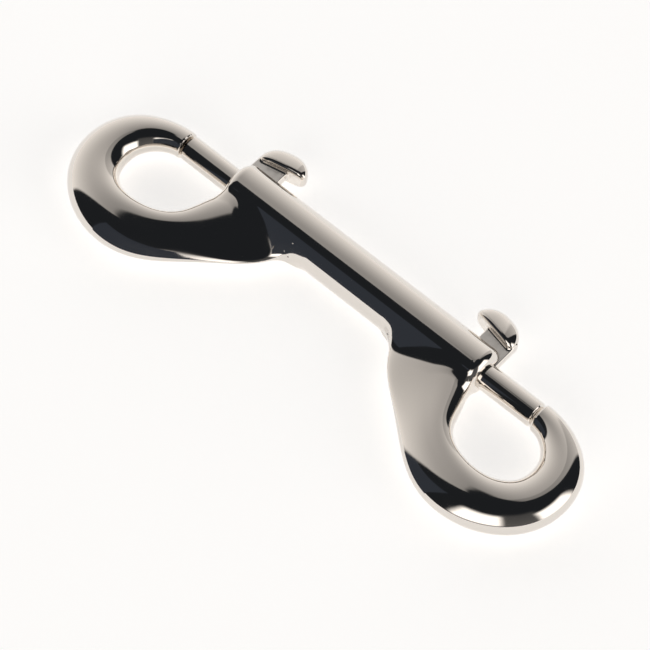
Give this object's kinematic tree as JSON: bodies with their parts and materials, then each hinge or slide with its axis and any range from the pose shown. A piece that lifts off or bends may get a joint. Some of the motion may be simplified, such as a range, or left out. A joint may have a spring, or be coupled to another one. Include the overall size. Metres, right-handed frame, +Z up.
{
  "type": "double ended bolt snap",
  "caption": "Double ended bolt snap: a round barrel with an oval hook cast at each end, each eye closed by a sprung sliding bolt with a thumb piece.",
  "frame": {"origin": "centre of the bounding box in plan, on the surface that the snap lies on", "axes": "+X along the barrel, -Y towards the hooks' bows, +Y towards the thumb pieces, +Z up, square to the plane of the hooks"},
  "size_m": [0.1172, 0.0386, 0.01],
  "materials": {
    "plated_casting": "bright nickel plate",
    "plated_bolt": "bright nickel plate",
    "spring_wire": "drawn spring wire"
  },
  "bodies": {
    "body": {"body": "plated_casting", "right_spring": "spring_wire", "left_spring": "spring_wire"},
    "right_bolt": {"right_bolt": "plated_bolt"},
    "left_bolt": {"left_bolt": "plated_bolt"}
  },
  "joints": [
    {"name": "right_bolt_slide", "type": "slide", "parent": "body", "child": "right_bolt", "axis": [-1, 0, 0], "range_m": [0, 0.0122], "stiffness_N_per_m": 400, "springref_m": -0.006, "deforming": ["right_spring"]},
    {"name": "left_bolt_slide", "type": "slide", "parent": "body", "child": "left_bolt", "axis": [1, 0, 0], "range_m": [0, 0.0122], "stiffness_N_per_m": 400, "springref_m": -0.006, "deforming": ["left_spring"]}
  ]
}
